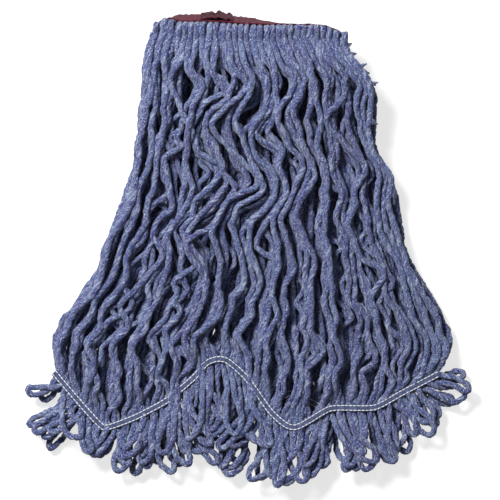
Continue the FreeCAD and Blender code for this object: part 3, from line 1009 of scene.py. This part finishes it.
class MOPHEAD_OT_tail_bands(bpy.types.Operator):
    """Sew the tail tapes over the yarn, above and below, with two rows of stitches each"""
    bl_idname = "mophead.tail_bands"
    bl_label = "Tail bands"

    def execute(self, context):
        yarn, band = context.scene.mop_yarn, context.scene.mop_bands
        radius = yarn.thickness / MM / 2
        width = band.tail_width / MM
        _, tails = laid_yarn(yarn.seed, yarn.thickness / MM)
        tape_finish = woven_material("tail_tape_weave", tuple(band.tail_tape), 0.55 * MM)
        thread = thread_material(tuple(band.thread))
        for side in ("front", "back"):
            curtain, base = tails[side]
            line = curtain.tail
            run = np.arange(len(line), dtype=float)
            sewn_run = (TAIL_END + (np.arange(STRANDS) + 0.5) / STRANDS * (len(line) - 1 - 2 * TAIL_END))
            for face, up in (("top", 1), ("under", -1)):
                level = np.interp(run, sewn_run, base)
                ridges = 0.35 * np.cos(2 * math.pi * run / (sewn_run[2] - sewn_run[0]))
                lift = (1.62 * radius + 0.35 if up > 0 else -radius - 0.25)
                height = level + lift + ridges * up
                height = np.maximum(height, FLOOR + 0.7)
                way = tangents(np.column_stack([line, height]))
                normal = np.cross((0, 0, 1), way)
                normal[:, 2] = 0
                normal /= np.linalg.norm(normal, axis=1, keepdims=True)
                shares = np.linspace(-0.5, 0.5, 7)
                centre = np.column_stack([line, height])
                grid = centre[:, None] + normal[:, None] * (shares * width)[None, :, None]
                grid[..., 2] -= up * 0.5 * (np.abs(shares) * 2)[None] ** 3
                dent = np.abs(np.abs(shares * width) - band.row_gap / MM / 2) < 0.8
                grid[..., 2] -= up * 0.22 * dent[None]
                tape = cloth_piece(f"{side}_tail_band_{face}", grid, run, width, TAIL_THICKNESS, tape_finish)
                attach(tape, side + "_curtain")
                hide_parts(f"{side}_tail_tape_{face}")
                rows = []
                for hand in (-0.5, 0.5):
                    offset = centre + normal * (hand * band.row_gap / MM)
                    offset[:, 2] += up * 0.42
                    outward = np.tile((0, 0, float(up)), (len(line), 1))
                    rows.append(stitch_row("tail_row", offset, outward, TAIL_STITCH, thread))
                row = joined(f"{side}_tail_band_stitches_{face}", rows)
                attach(row, side + "_curtain")
                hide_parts(f"{side}_tail_stitches_{face}")
        return {"FINISHED"}


TAPE_WIDTH = 25.4
TAPE_THICKNESS = 1.1
LAP_THICKNESS = 1.0
TAPE_OUT = HALF_PACK + 0.8     # the tape's middle line, out from the middle of the pack
LAP = (-42.0, -14.0)           # where the tape's loose end lies, across the headband
SEAM_ROWS = (-9.5, -4.0, 4.0, 9.5)     # up the tape, from its middle
TAPE_IN = 1.4          # how far the tape's ends lie inside the pack's own width
TAPE_CORNER = 3.2
TAPE_GAP = 1.6         # between the tape's points


class MOPHEAD_OT_headband(bpy.types.Operator):
    """Wind the headband tape round the yarn, with its puckered lap and its stitching"""
    bl_idname = "mophead.headband"
    bl_label = "Headband"

    def execute(self, context):
        band = context.scene.mop_bands
        rng = np.random.default_rng(11)
        finish = woven_material("headband_weave", tuple(band.headband), 0.8 * MM)
        thread = thread_material(tuple(0.5 * c for c in band.headband))
        half = PACK_SPAN / 2 - TAPE_IN
        # once round the pack: along its face, round its end, back along the inside and home
        corner = TAPE_CORNER
        spots = [(-half + corner, TAPE_OUT), (half - corner, TAPE_OUT), (half, TAPE_OUT - corner),
                 (half, corner - TAPE_OUT), (half - corner, -TAPE_OUT), (corner - half, -TAPE_OUT),
                 (-half, corner - TAPE_OUT), (-half, TAPE_OUT - corner), (-half + corner, TAPE_OUT)]
        route = evenly(np.array(spots), TAPE_GAP)[:-1]
        run = np.arange(len(route)) * TAPE_GAP
        ups = np.linspace(-0.5, 0.5, 17) * TAPE_WIDTH
        swell = Wander(rng, 0.35, 23)
        ripple = Wander(rng, 0.55, 31)
        grid = np.zeros((len(route), len(ups), 3))
        way = tangents(np.column_stack([route, np.zeros(len(route))]))
        for i, (x, out) in enumerate(route):
            pull = sum(np.exp(-(((ups - row) / 0.9) ** 2)) for row in SEAM_ROWS)
            puff = swell(run[i] + ups * 0.7) - 0.4 * pull
            edge = ups * (1 + 0.01 * ripple(run[i]))
            grid[i] = band_point(x + puff * way[i, 1] * -1, out + puff * way[i, 0], edge)
        tape = cloth_piece("headband_wound_tape", grid, run, TAPE_WIDTH, TAPE_THICKNESS, finish, closed=True)
        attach(tape, "headband")
        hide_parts("headband_tape")
        # the loose end, gathered into puckers
        xs = np.linspace(LAP[0], LAP[1], 57)
        grid = np.zeros((len(xs), len(ups), 3))
        share = (xs - LAP[0]) / (LAP[1] - LAP[0])
        hump = np.sin(math.pi * share) ** 0.6
        for i, x in enumerate(xs):
            ruffle = 1.5 * math.cos(6.4 * math.pi * share[i] + 0.5) + 0.8 * math.cos(11 * math.pi * share[i])
            fray = ups * (1 + 0.05 * hump[i] * math.cos(9 * share[i]))
            lift = 1.15 + hump[i] * (1.9 + ruffle * (0.55 + 0.45 * np.cos(ups * 0.22 + 3 * share[i])))
            grid[i] = band_point(x, TAPE_OUT + lift, fray + 0.8 * math.sin(7 * share[i]))
        # The lap is coloured with the headband's colour at 0.55, darker than the rest of the tape.
        patchy = woven_material("headband_lap_darkened_weave", tuple(0.55 * c for c in band.headband), 0.7 * MM, 0.95)
        lap = cloth_piece("headband_puckered_lap", grid, xs - xs[0], TAPE_WIDTH, LAP_THICKNESS, patchy)
        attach(lap, "headband")
        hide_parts("headband_lap")
        rows = []
        for first, last in ((-half + 6, LAP[0] - 1), (LAP[1] + 1, half - 6)):
            for face in (1, -1):
                for row in SEAM_ROWS:
                    xs = np.arange(first, last, 1.0)
                    line = band_point(xs, face * (TAPE_OUT + 0.28), row)
                    out = band_point(xs, face * (TAPE_OUT + 5.0), row) - line
                    out /= np.linalg.norm(out, axis=1, keepdims=True)
                    rows.append(stitch_row("seam_row", line, out, SEAM_STITCH, thread))
        seam = joined("headband_seams", rows)
        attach(seam, "headband")
        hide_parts("headband_stitches")
        return {"FINISHED"}


# ---------------------------------------------------------------- stage

FLOOR_GREY = 0.52          # how pale the floor's own surface is
FLOOR_GLOW = 0.70          # what the background adds to it
LAMP_AT = (-0.72, 0.66, 1.36)      # metres
LAMP_SIDE = 0.5
AIM = (0.0, -0.2, 0.0)
CAMERA_HEIGHT = 2.2


class MOPHEAD_OT_stage(bpy.types.Operator):
    """Set the white floor, the soft light and the camera"""
    bl_idname = "mophead.stage"
    bl_label = "Stage"

    def execute(self, context):
        scene, stage = context.scene, context.scene.mop_stage
        deselect()
        bpy.ops.mesh.primitive_plane_add(size=6, location=(0, -0.2, FLOOR * MM))
        floor = context.object
        floor.name = "stage_floor"
        bpy.ops.object.transform_apply(location=True, rotation=True, scale=True)
        finish = bpy.data.materials.new("stage_white")
        finish.use_nodes = True
        finish.node_tree.nodes.clear()
        nodes = Nodes(finish.node_tree)
        share = nodes.add("Math", {0: nodes.behind(), 1: FLOOR_GLOW}, operation="MULTIPLY")[0]
        matt = nodes.add("BsdfDiffuse", {"Color": (FLOOR_GREY, FLOOR_GREY, FLOOR_GREY, 1)})[0]
        glow = nodes.add("Emission", {"Color": (1, 1, 1, 1), "Strength": share})[0]
        both = nodes.add("AddShader", {0: matt, 1: glow})[0]
        nodes.add("OutputMaterial", {"Surface": both})
        floor.data.materials.append(finish)

        scene.world = bpy.data.worlds.new("surround")
        scene.world.use_nodes = True
        nodes = Nodes(scene.world.node_tree)
        lift = nodes.add("MapRange", {"To Min": stage.sky, "To Max": 1.0, "Value": nodes.behind()})
        nodes.fill(scene.world.node_tree.nodes["Background"],
                   {"Strength": lift["Result"], "Color": (1, 1, 1, 1)})

        deselect()
        bpy.ops.object.light_add(type="AREA", location=LAMP_AT)
        key = context.object
        key.name = "key_light"
        key.data.shape = "RECTANGLE"
        key.data.size = LAMP_SIDE
        key.data.size_y = LAMP_SIDE
        key.data.energy = stage.key_power
        aim = np.array(AIM) - np.array(key.location)
        key.rotation_euler = (math.acos(-aim[2] / np.linalg.norm(aim)), 0,
                              math.atan2(aim[1], aim[0]) - math.pi / 2)

        bpy.ops.object.camera_add(location=(1.3 * MM, -205 * MM, CAMERA_HEIGHT), rotation=(0, 0, 0))
        camera = context.object
        camera.name = "camera_above"
        camera.data.lens = stage.lens
        camera.data.sensor_width = 36
        camera.data.clip_end = 20
        scene.camera = camera
        scene.view_settings.view_transform = "Standard"
        deselect()
        return {"FINISHED"}


class MOPHEAD_PT_panel(bpy.types.Panel):
    """Lists the mop head's settings and steps"""
    bl_label = "Mop Head"
    bl_idname = "MOPHEAD_PT_panel"
    bl_space_type = "VIEW_3D"
    bl_region_type = "UI"
    bl_category = "Mop Head"

    def draw(self, context):
        layout = self.layout
        for settings in (context.scene.mop_yarn, context.scene.mop_bands, context.scene.mop_stage):
            box = layout.box()
            for name in settings.__annotations__:
                box.prop(settings, name)
        for step in STEPS:
            layout.operator(step.bl_idname)


STEPS = (MOPHEAD_OT_stage, MOPHEAD_OT_yarn, MOPHEAD_OT_tail_bands, MOPHEAD_OT_headband)
CLASSES = (YarnSettings, BandSettings, StageSettings, *STEPS, MOPHEAD_PT_panel)


def register():
    for each in CLASSES:
        bpy.utils.register_class(each)
    bpy.types.Scene.mop_yarn = bpy.props.PointerProperty(type=YarnSettings)
    bpy.types.Scene.mop_bands = bpy.props.PointerProperty(type=BandSettings)
    bpy.types.Scene.mop_stage = bpy.props.PointerProperty(type=StageSettings)


def unregister():
    del bpy.types.Scene.mop_stage
    del bpy.types.Scene.mop_bands
    del bpy.types.Scene.mop_yarn
    for each in reversed(CLASSES):
        bpy.utils.unregister_class(each)


def main():
    """Makes the whole piece."""
    register()
    bpy.ops.mophead.stage()
    bpy.ops.mophead.yarn()
    bpy.ops.mophead.tail_bands()
    bpy.ops.mophead.headband()


if __name__ == "__main__":
    main()
